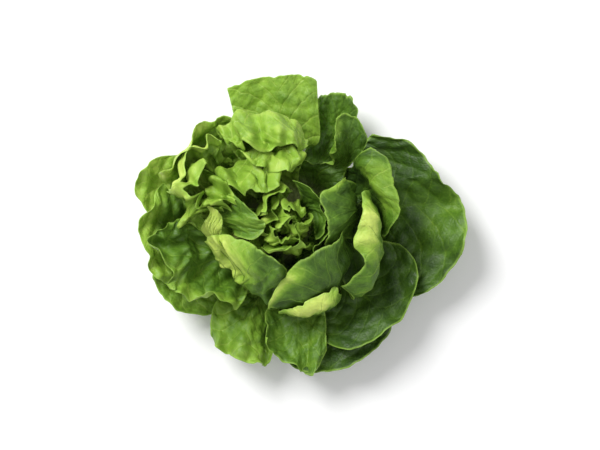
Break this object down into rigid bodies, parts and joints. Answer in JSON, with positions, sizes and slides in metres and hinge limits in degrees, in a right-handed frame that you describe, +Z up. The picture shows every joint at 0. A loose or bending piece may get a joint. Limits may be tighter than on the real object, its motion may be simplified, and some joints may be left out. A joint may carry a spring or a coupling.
{
  "type": "head of lettuce",
  "caption": "Head of butterhead lettuce with a cut stem, dark open outer leaves on one side and pale leaves that wrap a crumpled heart.",
  "frame": {"origin": "centre of the stem's flat cut face, which the head rests on", "axes": "+Z up the stem towards the heart, +X towards the largest open outer leaf, +Y towards the square-ended outer leaf"},
  "size_m": [0.2805, 0.2529, 0.1027],
  "materials": {
    "outer_leaf": "satin waxy leaf, darkest of the head",
    "wrapper_leaf": "satin waxy leaf with pale veins",
    "inner_leaf": "satin light green leaf",
    "heart_leaf": "satin pale yellow-green crumpled leaf",
    "stem": "moist cut stem tissue, cream"
  },
  "bodies": {
    "root": {"outer_leaf_01": "outer_leaf", "outer_leaf_02": "outer_leaf", "outer_leaf_03": "outer_leaf", "outer_leaf_04": "outer_leaf", "outer_leaf_05": "outer_leaf", "outer_leaf_06": "outer_leaf", "outer_leaf_07": "outer_leaf", "outer_leaf_08": "outer_leaf", "outer_leaf_09": "outer_leaf", "outer_leaf_10": "outer_leaf", "outer_leaf_11": "outer_leaf", "wrapper_leaf_01": "wrapper_leaf", "wrapper_leaf_02": "wrapper_leaf", "wrapper_leaf_03": "wrapper_leaf", "wrapper_leaf_04": "wrapper_leaf", "wrapper_leaf_05": "wrapper_leaf", "wrapper_leaf_06": "wrapper_leaf", "wrapper_leaf_07": "wrapper_leaf", "wrapper_leaf_08": "wrapper_leaf", "wrapper_leaf_09": "wrapper_leaf", "wrapper_leaf_10": "wrapper_leaf", "wrapper_leaf_11": "wrapper_leaf", "wrapper_leaf_12": "wrapper_leaf", "wrapper_leaf_13": "wrapper_leaf", "wrapper_leaf_14": "wrapper_leaf", "wrapper_leaf_15": "wrapper_leaf", "inner_leaf_01": "inner_leaf", "inner_leaf_02": "inner_leaf", "inner_leaf_03": "inner_leaf", "inner_leaf_04": "inner_leaf", "inner_leaf_05": "inner_leaf", "inner_leaf_06": "inner_leaf", "inner_leaf_07": "inner_leaf", "heart_leaf_01": "heart_leaf", "heart_leaf_02": "heart_leaf", "heart_leaf_03": "heart_leaf", "heart_leaf_04": "heart_leaf", "heart_leaf_05": "heart_leaf", "heart_leaf_06": "heart_leaf", "heart_leaf_07": "heart_leaf", "stem_core": "stem"}
  },
  "joints": []
}
